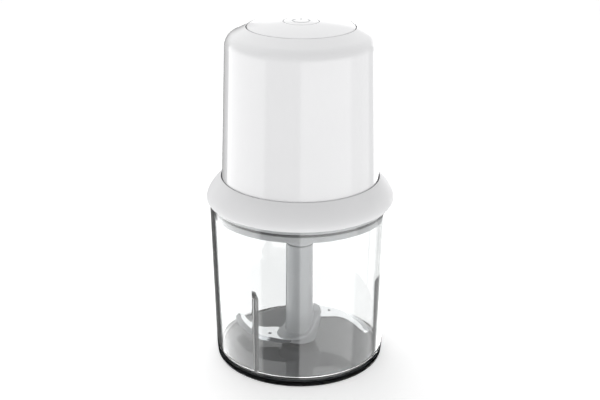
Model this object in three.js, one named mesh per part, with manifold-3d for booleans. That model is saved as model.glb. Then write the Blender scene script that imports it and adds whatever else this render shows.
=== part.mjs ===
// A press-top food chopper: a clear bowl, a lid, and a motor head whose whole top is the button.
// Millimetres, +Z up. The origin is the centre of the base, and -Y is the front.
import * as THREE from "three";
import { mergeVertices } from "three/addons/utils/BufferGeometryUtils.js";
import Module from "manifold-3d";

const wasm = await Module();
wasm.setup();

// Driving dimensions
const GAP = 0.3; // left between pieces that touch
const FINE = 36; // sides of the large round pieces
const ROUND = 24; // sides of the middling ones
const SMALL = 12; // sides of the small ones

const BOWL = { footR: 58.8, seatR: 57, rimR: 62.05, rimZ: 115.6, kneeR: 59.3, kneeZ: 7, wall: 2.6 };
const FLOOR = { under: 2.6, top: 4.6, fillet: 4 };
const PAD = { bottom: 0.6, ringInner: 53.4 };
const RIB = {
  innerR: 54.3, width: 2.8, innerZ: 61, wallZ: 69.5, rootZ: 10, buried: 1,
  angles: [-121, -19.5, 95],
};
const PIN = { r: 3.1, bottom: 4.2, top: 52, point: 1.3, bossR: 6, bossZ: 6.8 };
const BUSH = { play: 0.35, bottom: 8, top: 46 };

const SHAFT = {
  topR: 9.55, footR: 9.95, top: 82.2, bore: 6.3, boreTop: 60, socket: 6.4, socketZ: 66.3,
  edge: 0.6,
};
const FOOT = {
  r: 12.8, lobe: 5.8, lobeAngle: 45, lobeSpan: 75, bottom: 7.7, hinge: 13, band: 6, bevel: 1.2,
};
const RAMP = { low: 14.6, high: 27.6, start: 282, full: 370, level: 455, end: 525 }; // Z, then degrees
const BLADE = {
  thick: 1.3, highTop: 25.4, lowTop: 13.6, holeR: 1.3, hole: [21.2, 6.6], rootAngle: 27.7,
  rootDistance: 12.1,
};
const DRIVE = { r: 5.4, splines: 6, tipR: 5.2, rootR: 3.7, play: 0.35, bottom: 71, splineTop: 83 };
const FLANGE = { r: 9, bottom: 122.3, top: 123.7 };

const COLLAR = {
  r: 64.2, bottom: 115.95, widestZ: 117.4, topR: 54.2, topZ: 132.7, pullZ: 123, wall: 2.2,
};
const LID = {
  r: 59.6, under: 116, top: 118.4, skirtR: 58.9, skirtWall: 2.2, skirtZ: 106.9, neckZ: 82.7,
  neckFilletR: 3.4, bore: 7.4,
};
const SEAL = { z: 111.8, height: 1.2, depth: 1.2, lip: 0.2 };
const NECK_SEAL = { inner: 6, outer: 7.1, bottom: 84, top: 86.5 };

const HEAD = { bottom: 118.9, lowR: 53.94, middleZ: 134, highR: 50.29, highZ: 221.95, wall: 2.4 };
const SHOULDER = {
  r: 9.67, angle: 68.2, seamR: 36.1, seamZ: 234.85, edge: 0.5, guideZ: 224, underZ: 231,
};
const BASE = { r: 50.8, hole: 12.4, thick: 3, screwRing: 48, screwAngles: [30, 150, 270] };
const BOSS = { r: 3.8, lift: 0.4, top: 138 };
const VENT = { count: 10, first: 12, ring: 38.5, length: 8, width: 3 };
const SCREW = { headR: 2.8, headLow: 119.3, headHigh: 120.8, shankR: 1.3, tip: 135 };
const GEAR = {
  sun: 12, planet: 18, ring: 48, distance: 15, bottom: 128, top: 136, rim: 4.2, boreR: 2.9,
};
const CARRIER = { r: 20.5, bottom: 124, top: 127.6, pinR: 2.2 };
const CASE = { r: 31, wall: 2.4, top: 142, lift: 0.4, cover: 2.2 };
const MOTOR = {
  shaftR: 2.6, coreZ: 164, coreTop: 190, bore: 15.4, rotorR: 14.6, boltX: 20, holeR: 2.3,
};
const COIL = { half: 17, holeX: 12, holeZ: 13.4, y: 18.1, halfDepth: 2.1 };
const WINDOW = { x: 14.5, halfX: 2.8, halfY: 2.6 };
const BOLT = { r: 2, bottom: 139, headR: 3.6, headHeight: 1.9 };
const WINDING = {
  slots: 8, rootR: 10, barR: 11.6, barX: 2, barY: 2.4, barLength: 34, endInner: 5, endOuter: 13,
  endHeight: 5.5,
};
const COMMUTATOR = { r: 8, bottom: 197, top: 206 };
const BRUSH = { centre: 13.4, length: 10, width: 6, height: 5, holderWall: 1.2 };
const FAN = {
  blades: 7, r: 16.6, hubR: 7.2, bottom: 147, plate: 1.6, top: 155, bladeX: 11.4, bladeLength: 10,
};
const FRAME = { bottom: 208, top: 211, earR: 9, bearingR: 8 };
const SWITCH = {
  plate: 213.8, plateTop: 215.8, plateR: 36, wireR: 1.7, wireX: 30, plungerR: 1.5,
  plungerTop: 222.3,
};
const SPRING = { r: 13.5, turns: 4, wire: 0.6, steps: 56 };
const BUTTON = {
  r: 35.5, edgeZ: 234.9, domeZ: 238.5, skirtZ: 226, wall: 2.4, thick: 3.1, badgeR: 11.5,
  recess: 1.1, stemR: 5,
};
const GLAND = { z: 142, r: 5, holeR: 2.6, flangeR: 7.5, inner: 46, seat: 53.6, flange: 55.2, end: 61 };

// Helpers

const rad = (degrees) => (degrees * Math.PI) / 180;
const object = new THREE.Group();

function add(name, geometry, colour, roughness, metalness = 0, opacity = 1) {
  const material = new THREE.MeshStandardMaterial({ color: colour, roughness, metalness });
  material.opacity = opacity;
  material.transparent = opacity < 1;
  const mesh = new THREE.Mesh(geometry, material);
  mesh.name = name;
  object.add(mesh);
  return mesh;
}

// Turns an outline of [radius, height] points round the Z axis. It runs anticlockwise.
function turn(outline, sides = ROUND) {
  const points = outline.map(([r, z]) => new THREE.Vector2(r, z));
  return new THREE.LatheGeometry(points, sides).rotateX(Math.PI / 2);
}

const disc = (r, low, high, sides) => turn([[0, low], [r, low], [r, high], [0, high]], sides);

function tube(inner, outer, low, high, sides) {
  return turn([[inner, low], [outer, low], [outer, high], [inner, high], [inner, low]], sides);
}

function box(x, y, z, [cx, cy, cz]) {
  return new THREE.BoxGeometry(x, y, z).translate(cx, cy, cz);
}

// A flat outline of [x, y] points, with round or pointed holes, raised from one height to another.
function slab(outline, low, high, holes = []) {
  const shape = new THREE.Shape(outline.map(([x, y]) => new THREE.Vector2(x, y)));
  shape.holes = holes.map((hole) => new THREE.Path(hole.map(([x, y]) => new THREE.Vector2(x, y))));
  const options = { depth: high - low, bevelEnabled: false };
  return new THREE.ExtrudeGeometry(shape, options).translate(0, 0, low);
}

function circle(r, sides = SMALL, [cx, cy] = [0, 0]) {
  return Array.from({ length: sides }, (_, i) => {
    const a = (2 * Math.PI * i) / sides;
    return [cx + r * Math.cos(a), cy + r * Math.sin(a)];
  });
}

function rectangle(halfX, halfY, [cx, cy] = [0, 0]) {
  const corners = [[-1, -1], [1, -1], [1, 1], [-1, 1]];
  return corners.map(([sx, sy]) => [cx + sx * halfX, cy + sy * halfY]);
}

function arc(cx, cy, r, from, to, steps) {
  return Array.from({ length: steps + 1 }, (_, i) => {
    const a = rad(from + ((to - from) * i) / steps);
    return [cx + r * Math.cos(a), cy + r * Math.sin(a)];
  });
}

const turned = (geometry, degrees) => geometry.rotateZ(rad(degrees));

function solid(geometry) {
  const bare = geometry.clone();
  bare.deleteAttribute("normal");
  bare.deleteAttribute("uv");
  const merged = mergeVertices(bare, 1e-4);
  const vertProperties = merged.attributes.position.array;
  const triVerts = new Uint32Array(merged.index.array);
  return new wasm.Manifold(new wasm.Mesh({ numProp: 3, vertProperties, triVerts }));
}

function join(geometry, ...others) {
  return others.reduce((sum, other) => sum.add(solid(other)), solid(geometry));
}

function cut(whole, ...others) {
  const start = whole instanceof THREE.BufferGeometry ? solid(whole) : whole;
  return others.reduce((rest, other) => rest.subtract(solid(other)), start);
}

function shell(made) {
  const { vertProperties, triVerts } = made.getMesh();
  const geometry = new THREE.BufferGeometry();
  geometry.setAttribute("position", new THREE.BufferAttribute(new Float32Array(vertProperties), 3));
  geometry.setIndex(Array.from(triVerts));
  return geometry.toNonIndexed();
}

// A round outline whose radius steps between a tip and a root, for gears and splines.
function toothed(count, tipR, rootR, tipShare, rootShare, phase = 0) {
  const pitch = 360 / count;
  return Array.from({ length: count }, (_, i) => {
    const middle = phase + i * pitch;
    const corners = [[rootR, -rootShare], [tipR, -tipShare], [tipR, tipShare], [rootR, rootShare]];
    return corners.map(([r, share]) => {
      const a = rad(middle + (share * pitch) / 2);
      return [r * Math.cos(a), r * Math.sin(a)];
    });
  }).flat();
}

// Bowl: one moulding of clear plastic, with three upright ribs and a boss for the pin

const bowlRadius = (z) =>
  BOWL.kneeR + ((BOWL.rimR - BOWL.kneeR) * (z - BOWL.kneeZ)) / (BOWL.rimZ - BOWL.kneeZ);
const innerRadius = (z) => bowlRadius(z) - BOWL.wall;
const filletR = innerRadius(FLOOR.top + FLOOR.fillet);

const bowlOutline = [
  [0, FLOOR.under],
  [BOWL.seatR, FLOOR.under],
  [BOWL.seatR, GAP],
  [BOWL.footR, GAP],
  [BOWL.footR, 1.8],
  [BOWL.kneeR - 0.1, 4],
  [BOWL.kneeR, BOWL.kneeZ],
  [BOWL.rimR, BOWL.rimZ],
  [BOWL.rimR - BOWL.wall, BOWL.rimZ],
  [filletR, FLOOR.top + FLOOR.fillet],
  ...arc(filletR - FLOOR.fillet, FLOOR.top + FLOOR.fillet, FLOOR.fillet, -22, -90, 4),
  [PIN.bossR + 1, FLOOR.top],
  [PIN.bossR, FLOOR.top + 1],
  [PIN.bossR, PIN.bossZ],
  [PIN.r + GAP, PIN.bossZ],
  [PIN.r + GAP, PIN.bottom - GAP],
  [0, PIN.bottom - GAP],
];

function rib(angle) {
  const outer = (z) => innerRadius(z) + RIB.buried;
  const low = FLOOR.top - RIB.buried;
  const outline = [
    [RIB.innerR, low],
    [outer(RIB.rootZ), low],
    [outer(RIB.rootZ), RIB.rootZ],
    [outer(RIB.wallZ), RIB.wallZ],
    [RIB.innerR, RIB.innerZ],
  ];
  const plate = slab(outline, -RIB.width / 2, RIB.width / 2).rotateX(Math.PI / 2);
  return turned(plate, angle);
}

const bowl = join(turn(bowlOutline, FINE), ...RIB.angles.map(rib));
add("bowl", shell(bowl), 0xe8eef0, 0.05, 0, 0.3);

add("pivot_pin", turn([
  [0, PIN.bottom],
  [PIN.r, PIN.bottom],
  [PIN.r, PIN.top - PIN.point],
  [PIN.r - PIN.point, PIN.top],
  [0, PIN.top],
], SMALL), 0xc4c6c8, 0.25, 1);

const padTop = FLOOR.under - GAP;
add("anti_slip_ring", tube(PAD.ringInner, BOWL.seatR - GAP, 0, padTop, FINE), 0x1c1d1e, 0.75);
add("base_pad", disc(PAD.ringInner - GAP, PAD.bottom, padTop), 0x8e9092, 0.6);

// Blade unit: a moulded tube on a plain bearing, with two sickle blades set in its ramped foot

const bushForm = tube(PIN.r + BUSH.play, SHAFT.bore - BUSH.play, BUSH.bottom, BUSH.top, SMALL);
add("pivot_bush", bushForm, 0xd8d6ce, 0.4);

// The foot's outline swells towards each blade's root.
function footRadius(angle) {
  const off = Math.min(...[0, 180].map((side) => {
    const turnOff = (((angle - FOOT.lobeAngle - side) % 360) + 540) % 360 - 180;
    return Math.abs(turnOff);
  }));
  const swell = off < FOOT.lobeSpan ? Math.cos(rad((off * 90) / FOOT.lobeSpan)) ** 2 : 0;
  return FOOT.r + FOOT.lobe * swell;
}

// Its top climbs from the low blade, round the front, to the high blade, and falls again behind.
function footTop(angle) {
  const a = ((angle + 720 - RAMP.end) % 360) + RAMP.end - 360;
  const climb = (a - RAMP.start) / (RAMP.full - RAMP.start);
  const fall = (RAMP.end - a) / (RAMP.end - RAMP.level);
  const t = Math.max(0, Math.min(1, climb, fall));
  return RAMP.low + (RAMP.high - RAMP.low) * t * t * (3 - 2 * t);
}

function footBody() {
  const sides = 48;
  const middle = (RAMP.low + RAMP.high) / 2;
  const low = (angle) => (footTop(angle) < middle ? footRadius(angle) : FOOT.r);
  const hinge = (angle) => Math.min(FOOT.hinge, footTop(angle) - FOOT.bevel - GAP);
  const rings = [
    (a) => [low(a) - FOOT.bevel, FOOT.bottom],
    (a) => [low(a), FOOT.bottom + FOOT.bevel],
    (a) => [low(a), hinge(a)],
    (a) => [footRadius(a), Math.max(footTop(a) - FOOT.band, hinge(a) + GAP / 2)],
    (a) => [footRadius(a), footTop(a) - FOOT.bevel],
    (a) => [footRadius(a) - FOOT.bevel, footTop(a)],
    (a) => [SHAFT.footR - FOOT.bevel, footTop(a)],
  ];
  const vertices = [0, 0, FOOT.bottom];
  for (const ring of rings) {
    for (let i = 0; i < sides; i += 1) {
      const angle = (360 * i) / sides;
      const [r, z] = ring(angle);
      vertices.push(r * Math.cos(rad(angle)), r * Math.sin(rad(angle)), z);
    }
  }
  const apex = vertices.length / 3;
  vertices.push(0, 0, middle);
  const faces = [];
  for (let i = 0; i < sides; i += 1) {
    const next = (i + 1) % sides;
    faces.push(0, 1 + next, 1 + i);
    for (let k = 0; k < rings.length - 1; k += 1) {
      const [a, b] = [1 + k * sides + i, 1 + k * sides + next];
      faces.push(a, b, b + sides, a, b + sides, a + sides);
    }
    const last = 1 + (rings.length - 1) * sides;
    faces.push(last + i, last + next, apex);
  }
  const geometry = new THREE.BufferGeometry();
  geometry.setAttribute("position", new THREE.BufferAttribute(new Float32Array(vertices), 3));
  geometry.setIndex(faces);
  return geometry;
}

// The slot that a blade's root sits in, on one side of the foot
function bladeSlot(top, angle) {
  const [depth, width] = [20, 44];
  const centre = [BLADE.rootDistance + depth / 2, 0, top - BLADE.thick / 2];
  return turned(box(depth, width, BLADE.thick + 2 * GAP, centre), angle);
}

const shaftBody = turn([
  [0, FOOT.hinge - 1],
  [SHAFT.footR, FOOT.hinge - 1],
  [SHAFT.topR, SHAFT.top - SHAFT.edge],
  [SHAFT.topR - SHAFT.edge, SHAFT.top],
  [0, SHAFT.top],
]);
const bladeShaft = cut(
  join(shaftBody, footBody()),
  disc(SHAFT.bore, 0, SHAFT.boreTop, ROUND),
  disc(SHAFT.socket, SHAFT.socketZ, SHAFT.top + 1, ROUND),
  bladeSlot(BLADE.highTop, BLADE.rootAngle),
  bladeSlot(BLADE.lowTop, BLADE.rootAngle + 180),
);
add("blade_shaft", shell(bladeShaft), 0xd9dadb, 0.4);

// A sickle: its convex edge is sharpened and leads, and its tip trails.
const sickle = [
  [15.5, -3.1], [25.5, -2.7], [30, -4.4], [34, -7.6], [38.3, -14], [41, -20], [43.2, -23.9],
  [46.2, -24.2], [48, -20.2], [46.2, -12.8], [43.4, -6], [37.4, 3.2], [29.5, 12.3], [20, 16.8],
  [7, 18.9], [5.6, 15.8],
];
const pinHole = circle(BLADE.holeR, SMALL, BLADE.hole);
const bladePlate = (top) => slab(sickle, top - BLADE.thick, top, [pinHole]);
add("blade_high", bladePlate(BLADE.highTop), 0xd6d8da, 0.15, 1);
add("blade_low", turned(bladePlate(BLADE.lowTop), 180), 0xd6d8da, 0.15, 1);

const spline = { tipShare: 0.42, rootShare: 0.58 };
const splined = (grow) =>
  toothed(DRIVE.splines, DRIVE.tipR + grow, DRIVE.rootR + grow, spline.tipShare, spline.rootShare);
add("drive_socket", slab(
  circle(SHAFT.socket - GAP, ROUND),
  SHAFT.socketZ + GAP,
  SHAFT.top - GAP,
  [splined(DRIVE.play)],
), 0x3a3c3e, 0.5);

// Lid: a white collar clipped round a disc whose skirt fills the bowl's mouth

function collarArc(inset, steps) {
  const curve = new THREE.QuadraticBezierCurve(
    new THREE.Vector2(COLLAR.r - inset, COLLAR.widestZ),
    new THREE.Vector2(COLLAR.r - inset, COLLAR.pullZ - inset / 2),
    new THREE.Vector2(COLLAR.topR + inset / 8, COLLAR.topZ - inset * 1.1),
  );
  return curve.getPoints(steps).map((p) => [p.x, p.y]);
}

add("lid_collar", turn([
  [LID.r + GAP, COLLAR.bottom],
  [COLLAR.r - 1.3, COLLAR.bottom],
  [COLLAR.r - 0.3, COLLAR.bottom + 0.5],
  ...collarArc(0, 7),
  [COLLAR.topR - 0.1, COLLAR.topZ - 0.4],
  ...collarArc(COLLAR.wall, 4).reverse(),
  [COLLAR.r - COLLAR.wall, LID.top],
  [LID.r + GAP, LID.top],
  [LID.r + GAP, COLLAR.bottom],
], FINE), 0xececed, 0.5);

const neckFillet = LID.under - LID.neckFilletR;
add("lid_plate", turn([
  [LID.bore, LID.neckZ],
  [SHAFT.topR, LID.neckZ],
  ...arc(SHAFT.topR + LID.neckFilletR + GAP, neckFillet, LID.neckFilletR, 180, 90, 3),
  [LID.skirtR - LID.skirtWall, LID.under],
  [LID.skirtR - LID.skirtWall, LID.skirtZ],
  [LID.skirtR - 0.3, LID.skirtZ],
  [LID.skirtR, LID.skirtZ + 0.5],
  [LID.skirtR, SEAL.z - SEAL.height / 2 - GAP],
  [LID.skirtR - SEAL.depth, SEAL.z - SEAL.height / 2 - GAP],
  [LID.skirtR - SEAL.depth, SEAL.z + SEAL.height / 2 + GAP],
  [LID.skirtR, SEAL.z + SEAL.height / 2 + GAP],
  [LID.skirtR, LID.under],
  [LID.r, LID.under],
  [LID.r, LID.top],
  [LID.bore, LID.top],
  [LID.bore, LID.neckZ],
], FINE), 0xdcdddf, 0.35);

const sealLow = SEAL.z - SEAL.height / 2;
const sealInner = LID.skirtR - SEAL.depth + GAP;
const sealForm = tube(sealInner, LID.skirtR + SEAL.lip, sealLow, sealLow + SEAL.height, FINE);
add("lid_seal", sealForm, 0x4a4c4e, 0.7);
const neckSealForm = tube(NECK_SEAL.inner, NECK_SEAL.outer, NECK_SEAL.bottom, NECK_SEAL.top, SMALL);
add("neck_seal", neckSealForm, 0x4a4c4e, 0.7);

// Motor head: a white shell with everything inside it

const headRadius = (z) =>
  HEAD.lowR + ((HEAD.highR - HEAD.lowR) * (z - HEAD.bottom)) / (HEAD.highZ - HEAD.bottom);
const shoulderX = HEAD.highR - SHOULDER.r;

function headOutline(inset, steps) {
  return [
    [headRadius(HEAD.bottom) - inset, HEAD.bottom],
    [headRadius(HEAD.middleZ) - inset, HEAD.middleZ],
    ...arc(shoulderX, HEAD.highZ, SHOULDER.r - inset, 0, SHOULDER.angle, steps),
  ];
}

function housingBoss(angle) {
  const post = tube(SCREW.shankR + GAP, BOSS.r, HEAD.bottom + BASE.thick + BOSS.lift, BOSS.top, SMALL);
  return turned(post.translate(BASE.screwRing, 0, 0), angle);
}

const housingShell = turn([
  ...headOutline(0, 5),
  [SHOULDER.seamR + SHOULDER.edge, SHOULDER.seamZ - SHOULDER.edge / 2],
  [SHOULDER.seamR, SHOULDER.seamZ - SHOULDER.edge],
  [SHOULDER.seamR, SHOULDER.guideZ],
  [SHOULDER.seamR + HEAD.wall, SHOULDER.guideZ],
  [SHOULDER.seamR + HEAD.wall, SHOULDER.underZ],
  ...headOutline(HEAD.wall, 2).reverse(),
  [headRadius(HEAD.bottom), HEAD.bottom],
], FINE);
const glandHole = disc(GLAND.r + GAP, GLAND.inner, GLAND.end, SMALL).rotateX(-Math.PI / 2);
glandHole.translate(0, 0, GLAND.z);
const housing = cut(join(housingShell, ...BASE.screwAngles.map(housingBoss)), glandHole);
add("motor_housing", shell(housing), 0xf4f5f6, 0.2);

const baseTop = HEAD.bottom + BASE.thick;
const ventAngles = Array.from({ length: VENT.count }, (_, i) => VENT.first + (i * 360) / VENT.count);
const screwHole = turn([
  [0, HEAD.bottom - 1],
  [SCREW.headR + GAP, HEAD.bottom - 1],
  [SCREW.headR + GAP, SCREW.headHigh + GAP],
  [SCREW.shankR + GAP, SCREW.headHigh + GAP],
  [SCREW.shankR + GAP, baseTop + 1],
  [0, baseTop + 1],
], SMALL).translate(BASE.screwRing, 0, 0);
const vent = box(VENT.length, VENT.width, 3 * BASE.thick, [VENT.ring, 0, baseTop]);
const headBase = cut(
  tube(BASE.hole, BASE.r, HEAD.bottom, baseTop, FINE),
  ...ventAngles.map((a) => turned(vent.clone(), a)),
  ...BASE.screwAngles.map((a) => turned(screwHole.clone(), a)),
);
add("head_base", shell(headBase), 0xe4e5e6, 0.4);

BASE.screwAngles.forEach((angle, i) => {
  const screw = turn([
    [0, SCREW.headLow],
    [SCREW.headR, SCREW.headLow],
    [SCREW.headR, SCREW.headHigh],
    [SCREW.shankR, SCREW.headHigh],
    [SCREW.shankR, SCREW.tip - 1],
    [0, SCREW.tip],
  ], SMALL);
  screw.translate(BASE.screwRing, 0, 0);
  add(`housing_screw_${i + 1}`, turned(screw, angle), 0x9a9c9e, 0.3, 1);
});

const glandBody = turn([
  [GLAND.holeR, GLAND.inner],
  [GLAND.r, GLAND.inner],
  [GLAND.r, GLAND.seat],
  [GLAND.flangeR, GLAND.seat],
  [GLAND.flangeR, GLAND.flange],
  [GLAND.r, GLAND.flange + 1],
  [GLAND.r - 1, GLAND.end],
  [GLAND.holeR, GLAND.end],
  [GLAND.holeR, GLAND.inner],
], SMALL);
add("cord_gland", glandBody.rotateX(-Math.PI / 2).translate(0, 0, GLAND.z), 0xe2e3e4, 0.6);

// Reduction gear: a sun on the motor shaft, three planets and a fixed ring turn the blades at a fifth

const tooth = { add: 0.75, dig: 1.15, tipShare: 0.2, rootShare: 0.58 };
const gearOutline = (count, phase) =>
  toothed(count, count / 2 + tooth.add, count / 2 - tooth.dig, tooth.tipShare, tooth.rootShare, phase);

const pitchR = GEAR.ring / 2;
add("ring_gear", slab(
  circle(pitchR + GEAR.rim, FINE),
  GEAR.bottom,
  GEAR.top,
  [toothed(GEAR.ring, pitchR - tooth.add, pitchR + tooth.dig, tooth.tipShare, tooth.rootShare)],
), 0xd0cfc6, 0.4);
add("sun_gear", slab(
  gearOutline(GEAR.sun, 0),
  GEAR.bottom,
  GEAR.top,
  [circle(GEAR.boreR)],
), 0xb8a36a, 0.35, 1);

const planetAngles = [0, 120, 240];
planetAngles.forEach((angle, i) => {
  const halfTooth = 180 / GEAR.planet;
  const hole = circle(CARRIER.pinR + GAP);
  const gear = slab(gearOutline(GEAR.planet, halfTooth), GEAR.bottom, GEAR.top, [hole]);
  gear.translate(GEAR.distance, 0, 0);
  add(`planet_gear_${i + 1}`, turned(gear, angle), 0xd8d6cc, 0.4);
});

const carrierPins = planetAngles.map((angle) =>
  turned(
    disc(CARRIER.pinR, CARRIER.bottom + 1, GEAR.top + 1, SMALL).translate(GEAR.distance, 0, 0),
    angle,
  ));
const carrierPlate = disc(CARRIER.r, CARRIER.bottom, CARRIER.top);
add("planet_carrier", shell(join(carrierPlate, ...carrierPins)), 0xb9bbbd, 0.3, 1);

const couplingRod = turn([
  [0, DRIVE.splineTop - 1],
  [DRIVE.r, DRIVE.splineTop],
  [DRIVE.r, FLANGE.bottom],
  [FLANGE.r, FLANGE.bottom],
  [FLANGE.r, FLANGE.top],
  [0, FLANGE.top],
]);
const splineEnd = slab(splined(0), DRIVE.bottom, DRIVE.splineTop + 1);
add("drive_coupling", shell(join(couplingRod, splineEnd)), 0x4a4c4e, 0.45);

const outputBearing = tube(DRIVE.r + GAP, BASE.hole - GAP, HEAD.bottom + GAP, baseTop - GAP);
add("output_bearing", outputBearing, 0xa89060, 0.35, 1);
add("gear_case", tube(CASE.r - CASE.wall, CASE.r, baseTop + CASE.lift, CASE.top), 0xc9cacb, 0.5);
const coverBottom = CASE.top + CASE.lift;
const coverTop = coverBottom + CASE.cover;
const boltHoles = [MOTOR.boltX, -MOTOR.boltX].map((x) => circle(MOTOR.holeR, SMALL, [x, 0]));
const bearingHole = circle(FRAME.bearingR + CASE.lift);
add("gear_cover", slab(
  circle(CASE.r, ROUND),
  coverBottom,
  coverTop,
  [bearingHole, ...boltHoles],
), 0xc9cacb, 0.5);

// Motor: a two-pole brushed motor, upright

const bearing = (low, high) => tube(MOTOR.shaftR + GAP, FRAME.bearingR, low, high, SMALL);
add("lower_bearing", bearing(coverBottom, coverTop), 0xa89060, 0.35, 1);
add("upper_bearing", bearing(FRAME.bottom, FRAME.top), 0xa89060, 0.35, 1);

const coilWindows = [-1, 1].flatMap((sx) =>
  [-1, 1].map((sy) => rectangle(WINDOW.halfX, WINDOW.halfY, [sx * WINDOW.x, sy * COIL.y])));
const coreOutline = [
  [-24, -20], [-17, -27], [17, -27], [24, -20], [24, 20], [17, 27], [-17, 27], [-24, 20],
];
const through = (outline) => slab(outline, MOTOR.coreZ - 1, MOTOR.coreTop + 1);
add("stator_core", shell(cut(
  slab(coreOutline, MOTOR.coreZ, MOTOR.coreTop),
  through(circle(MOTOR.bore, ROUND)),
  ...boltHoles.map(through),
  ...coilWindows.map(through),
)), 0x6f7173, 0.5, 1);

const coreMiddle = (MOTOR.coreZ + MOTOR.coreTop) / 2;
[1, -1].forEach((side, i) => {
  const form = rectangle(COIL.half, COIL.half);
  const loop = slab(form, -COIL.halfDepth, COIL.halfDepth, [rectangle(COIL.holeX, COIL.holeZ)]);
  loop.rotateX(Math.PI / 2).translate(0, side * COIL.y, coreMiddle);
  add(`field_coil_${i + 1}`, loop, 0xb06a3a, 0.4, 1);
});

[1, -1].forEach((side, i) => {
  const headBottom = FRAME.top + GAP;
  const headTop = headBottom + BOLT.headHeight;
  const bolt = turn([
    [0, BOLT.bottom], [BOLT.r, BOLT.bottom], [BOLT.r, headBottom], [BOLT.headR, headBottom],
    [BOLT.headR, headTop], [0, headTop],
  ], SMALL);
  add(`motor_bolt_${i + 1}`, bolt.translate(side * MOTOR.boltX, 0, 0), 0x9a9c9e, 0.3, 1);
});

const ear = (x, from) => arc(x, 0, FRAME.earR, from, from + 180, 8);
const bar = [...ear(MOTOR.boltX, -90), ...ear(-MOTOR.boltX, 90)];
add("upper_frame", slab(bar, FRAME.bottom, FRAME.top, [bearingHole, ...boltHoles]), 0xb9bbbd, 0.35, 1);

[1, -1].forEach((side, i) => {
  const centre = [BRUSH.centre, 0, (COMMUTATOR.bottom + COMMUTATOR.top) / 2];
  const [width, height] = [BRUSH.width + 2 * GAP, BRUSH.height + 2 * GAP];
  const holder = cut(
    box(BRUSH.length * 0.7, width + 2 * BRUSH.holderWall, height + 2 * BRUSH.holderWall, centre),
    box(BRUSH.length * 2, width, height, centre),
  );
  const angle = side * 90;
  add(`brush_holder_${i + 1}`, turned(shell(holder), angle), 0xb8a36a, 0.35, 1);
  const block = box(BRUSH.length, BRUSH.width, BRUSH.height, centre);
  add(`carbon_brush_${i + 1}`, turned(block, angle), 0x2b2b2c, 0.7);
});

// Rotor

add("motor_shaft", disc(MOTOR.shaftR, GEAR.bottom + GAP, FRAME.top + 1, SMALL), 0xc4c6c8, 0.2, 1);
const pole = { tipShare: 0.72, rootShare: 0.4 };
add("rotor_core", slab(
  toothed(WINDING.slots, MOTOR.rotorR, WINDING.rootR, pole.tipShare, pole.rootShare),
  MOTOR.coreZ + 1,
  MOTOR.coreTop - 1,
  [circle(MOTOR.shaftR + GAP)],
), 0x77797b, 0.5, 1);
const windingBars = Array.from({ length: WINDING.slots }, (_, i) => {
  const bar = box(WINDING.barX, WINDING.barY, WINDING.barLength, [WINDING.barR, 0, coreMiddle]);
  return turned(bar, (i + 0.5) * (360 / WINDING.slots));
});
const endTurns = [MOTOR.coreZ + GAP - WINDING.endHeight, MOTOR.coreTop - GAP].map((low) =>
  tube(WINDING.endInner, WINDING.endOuter, low, low + WINDING.endHeight));
add("rotor_windings", shell(join(...endTurns, ...windingBars)), 0xb06a3a, 0.4, 1);
const segments = tube(MOTOR.shaftR + GAP, COMMUTATOR.r, COMMUTATOR.bottom, COMMUTATOR.top);
add("commutator", segments, 0xb8754a, 0.3, 1);
const fanBlades = Array.from({ length: FAN.blades }, (_, i) => {
  const height = FAN.top - FAN.bottom - 1;
  const centre = [FAN.bladeX, 0, FAN.bottom + height / 2];
  return turned(box(FAN.bladeLength, FAN.plate, height, centre), (i * 360) / FAN.blades);
});
add("cooling_fan", shell(cut(
  join(
    disc(FAN.r, FAN.bottom, FAN.bottom + FAN.plate),
    disc(FAN.hubR, FAN.bottom, FAN.top),
    ...fanBlades,
  ),
  disc(MOTOR.shaftR + GAP, FAN.bottom - 1, FAN.top + 1, SMALL),
)), 0x3a3c3e, 0.5);

// Switch and control board

const wireHole = circle(SWITCH.wireR, SMALL, [SWITCH.wireX, 0]);
const bracket = slab(circle(SWITCH.plateR, ROUND), SWITCH.plate, SWITCH.plateTop, [wireHole]);
add("switch_bracket", bracket, 0xd0d1d2, 0.5);
const [bodyX, bodyY, bodyZ] = [19.6, 8, 4];
const switchBody = box(bodyX, bodyY, bodyZ, [0, 0, SWITCH.plateTop + GAP + bodyZ / 2]);
const plunger = disc(SWITCH.plungerR, SWITCH.plateTop + bodyZ / 2, SWITCH.plungerTop, SMALL);
add("microswitch", shell(join(switchBody, plunger)), 0x2e3032, 0.5);
const board = { x: 36, y: 1.6, z: 30, centre: [0, 38, 185] };
add("control_board", box(board.x, board.y, board.z, board.centre), 0x2f6b45, 0.5);

class Helix extends THREE.Curve {
  constructor(r, low, high, turns) {
    super();
    Object.assign(this, { r, low, high, turns });
  }

  getPoint(t) {
    const a = 2 * Math.PI * this.turns * t;
    const z = this.low + (this.high - this.low) * t;
    return new THREE.Vector3(this.r * Math.cos(a), this.r * Math.sin(a), z);
  }
}

const wire = new THREE.Shape(circle(SPRING.wire, 6).map(([x, y]) => new THREE.Vector2(x, y)));
const buttonUnder = BUTTON.edgeZ - BUTTON.thick;
const coil = new Helix(SPRING.r, SWITCH.plateTop + 1, buttonUnder - 1, SPRING.turns);
const springForm = new THREE.ExtrudeGeometry(wire, { steps: SPRING.steps, extrudePath: coil });
add("button_spring", springForm, 0xc4c6c8, 0.3, 1);

// Button: the head's whole top is a shallow dome that travels down

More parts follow.
